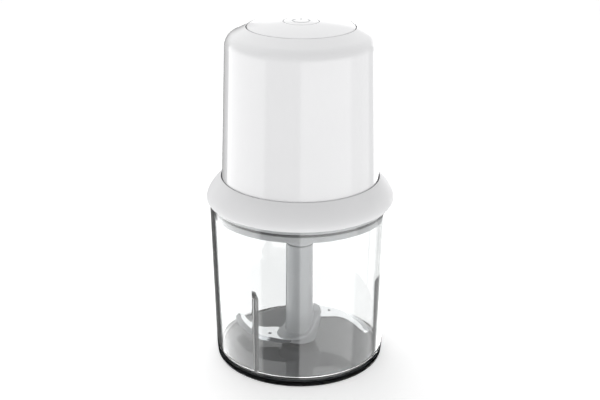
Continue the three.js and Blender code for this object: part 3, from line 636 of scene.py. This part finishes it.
BASE_TOP = 121.9
BASE_R = 50.8
BASE_BORE_R = 12.4
VENTS = 10
VENT_SIZE = (8, 3, 9)
VENT_RING = 38.5
VENT_START = 12  # the angle of the first vent in degrees
SCREW_FACE = 119.3
base_plate = spun([
    (BASE_BORE_R, HEAD_BOTTOM, 0.4), (BASE_R, HEAD_BOTTOM, 0.5), (BASE_R, BASE_TOP, 0.4),
    (BASE_BORE_R, BASE_TOP, 0.4),
])
for i in range(VENTS):
    slot_cut = block(*VENT_SIZE)
    upright = [e for e in slot_cut.edges if abs(e.verts[0].co.z - e.verts[1].co.z) > 8 * MM]
    bmesh.ops.bevel(slot_cut, geom=upright, offset=1.2 * MM, offset_type="OFFSET", segments=4,
                    profile=0.5, affect="EDGES", material=-1)
    placed(slot_cut, VENT_START + i * 360 / VENTS, VENT_RING, BASE_TOP)
    base_plate = combined(base_plate, slot_cut, "DIFFERENCE")
for angle in SCREW_ANGLES:
    sink = spun([(0, 117), (3.1, 117), (3.1, 121.1), (1.6, 121.1), (1.6, 123), (0, 123)], 32)
    base_plate = combined(base_plate, placed(sink, angle, SCREW_RING), "DIFFERENCE")
piece("vented_base", base_plate, satin_abs, "motor_head", "white_satin", "head_base", sharp=30)

for i, angle in enumerate(SCREW_ANGLES):
    screw = spun([
        (0, SCREW_FACE), (2.8, SCREW_FACE, 0.5), (2.8, 120.8, 0.2), (1.3, 120.8, 0.1), (1.3, 133.8),
        (0.3, 135), (0, 135),
    ], 32)
    for turn_by in (0, 90):
        recess = block(3, 0.7, 1.8, (0, 0, SCREW_FACE))
        bmesh.ops.rotate(recess, verts=recess.verts, cent=(0, 0, 0),
                         matrix=Matrix.Rotation(radians(turn_by), 3, "Z"))
        screw = combined(screw, recess, "DIFFERENCE")
    placed(screw, angle, SCREW_RING)
    piece(f"base_screw_{i + 1}", screw, turned_steel, "motor_head", "plain_steel", f"housing_screw_{i + 1}")

gland = spun([
    (2.6, 46, 0.3), (5, 46, 0.3), (5, 53.6), (7.5, 53.6, 0.3), (7.5, 55.2, 0.5), (5, 56, 0.5),
    (4.8, 57.4, 0.2), (4.3, 57.4, 0.2), (4.3, 58.2, 0.2), (4.6, 58.2, 0.2), (4.4, 59.6, 0.2),
    (4.0, 59.6, 0.2), (4.0, 61, 0.4), (2.6, 61, 0.4),
], 64)
bmesh.ops.rotate(gland, verts=gland.verts, cent=(0, 0, 0), matrix=Matrix.Rotation(-pi / 2, 3, "X"))
bmesh.ops.translate(gland, verts=gland.verts, vec=(0, 0, GLAND_Z * MM))
piece("cord_bushing", gland, satin_abs, "motor_head", "white_satin", "cord_gland")

# ---- The drive to the blades
# A splined nylon coupling hangs from the gear's carrier into a socket in the blade shaft. It
# turns in a sintered bronze bearing in the base.

SPLINES = 6
# Glass-filled nylon: black, with a dull sheen and short fibres at the surface.
filled_nylon = moulded("glass-filled nylon, moulded", "#1F2021", "#292A2B", 0.45, 0.3, 0.01, IOR=1.53)
# Sintered bronze is brown-gold and finely porous, so its gloss is broken.
bronze = moulded("sintered bronze", "#8C6A3C", "#A07C48", 0.38, 0.25, 0.02, Metallic=1)


def splined(tip_r, root_r, low, high, bottom_bevel):
    """A bar with six splines, upright, closed at both ends."""
    bm = bmesh.new()
    pitch = 2 * pi / SPLINES
    corners = []
    for i in range(SPLINES):
        for r, share in ((root_r, -0.29), (tip_r, -0.21), (tip_r, 0), (tip_r, 0.21), (root_r, 0.29)):
            a = pitch * (i + share)
            corners.append(bm.verts.new((r * cos(a) * MM, r * sin(a) * MM, low * MM)))
    face = bm.faces.new(corners)
    push = bmesh.ops.extrude_face_region(bm, geom=[face])
    moved = [v for v in push["geom"] if isinstance(v, bmesh.types.BMVert)]
    bmesh.ops.translate(bm, verts=moved, vec=(0, 0, (high - low) * MM))
    if bottom_bevel:
        ring = [e for e in bm.edges if all(abs(v.co.z - low * MM) < 1e-6 for v in e.verts)]
        bmesh.ops.bevel(bm, geom=ring, offset=bottom_bevel * MM, offset_type="OFFSET", segments=3,
                        profile=0.5, affect="EDGES", material=-1)
    bmesh.ops.recalc_face_normals(bm, faces=bm.faces)
    return bm


coupling = spun([
    (0, 82), (5.4, 83.2, 0.3), (5.4, 122.3, 0.3), (9, 122.3, 0.3), (9, 123.7, 0.3), (0, 123.7),
], SMALL)
coupling = combined(coupling, splined(5.2, 3.7, 71, 84, 0.4), "UNION")
piece("splined_coupling", coupling, filled_nylon, "planet_carrier", "dark_plastic", "drive_coupling")
socket = spun([(0, 66.6), (6.1, 66.6, 0.3), (6.1, 81.9, 0.3), (0, 81.9)], SMALL)
socket = combined(socket, splined(5.55, 4.05, 60, 90, 0), "DIFFERENCE")
piece("splined_socket", socket, filled_nylon, "blade_unit", "dark_plastic", "drive_socket")

# ---- The gears, motor and switch
# Everything closed inside the head: a planetary gear, a brushed motor, its board and the
# switch under the button. These keep their modelled shapes and get their materials here.

# Stamped laminations: dark steel sheets 0.5 mm thick, seen on edge as fine level lines.
lamination_steel = turned_metal("electrical steel, stacked", "#6E7072", 0.42, 0.5, 0.05)
# Zinc-plated sheet and shafts: brighter and smoother than the turned pin.
plated_steel = turned_metal("zinc-plated steel", "#C6C8CA", 0.26, 0.6, 0.003)
# Enamelled copper wire, wound side by side: orange-red under a clear lacquer.
copper_wire = turned_metal("enamelled copper, wound", "#B4643A", 0.3, 0.45, 0.08)
# Pressed carbon is black, dry and slightly sooty.
carbon = moulded("carbon, pressed", "#161617", "#222223", 0.7, 0.2, 0.01, IOR=1.6)
# Solder mask: green lacquer over glass-fibre board.
solder_mask = moulded("circuit board, solder mask", "#1C4A2C", "#24583A", 0.3, 0.4, 0.004, 6, IOR=1.52)
# Spring wire, drawn: bright with fine lines.
spring_wire = turned_metal("spring steel, drawn", "#B2B4B6", 0.2, 0.3, 0.002)

INNER_FINISHES = {
    nylon: ["ring_gear", "planet_gear_1", "planet_gear_2", "planet_gear_3"],
    bronze: ["sun_gear", "output_bearing", "lower_bearing", "upper_bearing", "brush_holder_1",
             "brush_holder_2"],
    grey_abs: ["gear_case", "gear_cover", "switch_bracket"],
    filled_nylon: ["cooling_fan", "microswitch"],
    lamination_steel: ["stator_core", "rotor_core"],
    plated_steel: ["planet_carrier", "motor_shaft", "motor_bolt_1", "motor_bolt_2", "upper_frame"],
    copper_wire: ["field_coil_1", "field_coil_2", "rotor_windings", "commutator"],
    carbon: ["carbon_brush_1", "carbon_brush_2"],
    solder_mask: ["control_board"],
    spring_wire: ["button_spring"],
}
for coat, names in INNER_FINISHES.items():
    for name in names:
        for place_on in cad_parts[name].material_slots:
            place_on.material = coat

# ---- Studio
# A plain pale floor, a soft light tent with brighter and darker walls, and the camera. The
# light is tuned to the view from the front, and two of its parts are seen only in reflections:
# the tent's walls and the black sheet under the foot.

studio = bpy.context.scene
studio.view_settings.view_transform = "Standard"
camera = bpy.data.objects.new("camera", bpy.data.cameras.new("camera"))
studio.collection.objects.link(camera)
camera.data.lens = 65.892
camera.data.sensor_width = 36
CAMERA_PLACE = (-0.00013, -0.70467, 0.39215)
CAMERA_PITCH = 21.59
CAMERA_ROLL = 0.3
aim = Matrix.Rotation(radians(90 - CAMERA_PITCH), 4, "X") @ Matrix.Rotation(radians(CAMERA_ROLL), 4, "Z")
camera.matrix_world = Matrix.Translation(CAMERA_PLACE) @ aim
studio.camera = camera


def ground_disc(name, radius, depth, coat):
    """A flat round sheet just below the foot, for the studio only. Sizes are in metres."""
    bm = bmesh.new()
    bmesh.ops.create_circle(bm, cap_ends=True, segments=64, radius=radius)
    bmesh.ops.translate(bm, verts=bm.verts, vec=(0, 0, -depth))
    mesh = bpy.data.meshes.new(name)
    bm.to_mesh(mesh)
    bm.free()
    mesh.materials.append(coat)
    made = bpy.data.objects.new(name, mesh)
    studio.collection.objects.link(made)
    return made


floor_finish = finish("pale floor", Base_Color=linear("#F4F4F4"), Roughness=0.9,
                      Emission_Color=(1, 1, 1, 1), Emission_Strength=0.4)[0]
floor_object = ground_disc("floor", 4, 0.0002, floor_finish)
floor_object.visible_glossy = False  # so that gloss shows the tent's walls down to the ground
floor_object.visible_transmission = False
# A black sheet under the object, seen only in its gloss, keeps the foot's reflections dark
sheet_finish = finish(
    "black sheet", Base_Color=linear("#050505"), Roughness=1, Specular_IOR_Level=0)[0]
sheet_object = ground_disc("black sheet", 0.0665, 0.0001, sheet_finish)
for seen_by in ("camera", "diffuse", "transmission", "shadow"):
    setattr(sheet_object, "visible_" + seen_by, False)

tent = bpy.data.worlds.new("light tent")
studio.world = tent
tent.use_nodes = True
tree = tent.node_tree
background = tree.nodes["Background"]
way = node(tree, "TexCoord").outputs["Generated"]
parts = node(tree, "SeparateXYZ", {"Vector": way})
back = node(tree, "Math", {0: parts.outputs["Y"], 1: -1}, operation="MULTIPLY")
bearing = node(tree, "Math", {0: parts.outputs["X"], 1: back.outputs[0]}, operation="ARCTAN2")
share = node(tree, "MapRange", {"Value": bearing.outputs[0], "From Min": -pi, "From Max": pi})
# The tent's walls, by bearing from the camera's side, left to right, and how bright each is
WALLS = [
    (-180, 0.5), (-175, 0.5), (-173, 0.02), (-136, 0.02), (-132, 0.55), (-54, 0.42), (-51, 0.16),
    (-1, 0.16), (1, 0.45), (77, 0.5), (80, 0.3), (118, 0.3), (120, 0.14), (133, 0.14), (139, 0.65),
    (180, 0.65),
]
walls = node(tree, "ValToRGB", {"Fac": share.outputs["Result"]},
             stops=[((b + 180) / 360, (level, level, level, 1)) for b, level in WALLS])
# Above the horizon the tent is one soft dome. Its gloss side is brighter behind the object.
rise = node(tree, "MapRange", {"Value": parts.outputs["Z"], "From Min": 0.02, "From Max": 0.28})
depth = node(tree, "MapRange", {
    "Value": parts.outputs["Y"], "From Min": -0.2, "From Max": 0.9, "To Min": 0.125, "To Max": 0.24})
ray = node(tree, "LightPath")
dome_light = node(tree, "Mix", {"Factor": ray.outputs["Is Diffuse Ray"]}, data_type="RGBA")
tree.links.new(depth.outputs["Result"], dome_light.inputs[6])
dome_light.inputs[7].default_value = (0.135, 0.135, 0.135, 1)
# Straight through the clear bowl the tent is plain white. Only reflections show its walls.
reflected = node(tree, "Math", {0: ray.outputs["Glossy Depth"], 1: 0.5}, operation="GREATER_THAN")
below = node(tree, "Mix", {"Factor": reflected.outputs[0]}, data_type="RGBA")
inner_light = node(tree, "MapRange", {
    "Value": ray.outputs["Diffuse Depth"], "To Min": 0.225, "To Max": 0.34})
tree.links.new(inner_light.outputs["Result"], below.inputs[6])
tree.links.new(walls.outputs["Color"], below.inputs[7])
lit = node(tree, "Mix", {"Factor": rise.outputs["Result"]}, data_type="RGBA")
tree.links.new(below.outputs[2], lit.inputs[6])
tree.links.new(dome_light.outputs[2], lit.inputs[7])
tree.links.new(lit.outputs[2], background.inputs["Color"])
background.inputs["Strength"].default_value = 4.5
studio.cycles.max_bounces = 32
studio.cycles.transmission_bounces = 32
studio.cycles.glossy_bounces = 16

overhead = bpy.data.lights.new("overhead", "AREA")
overhead.energy = 2.8
overhead.size = 0.5
overhead_object = bpy.data.objects.new("overhead", overhead)
studio.collection.objects.link(overhead_object)
overhead_object.visible_glossy = False
spot = Vector((-0.1, 0.42, 0.95))
overhead_object.matrix_world = Matrix.Translation(spot) @ (
    spot - Vector((0, 0, 0.15))).to_track_quat("Z", "Y").to_matrix().to_4x4()
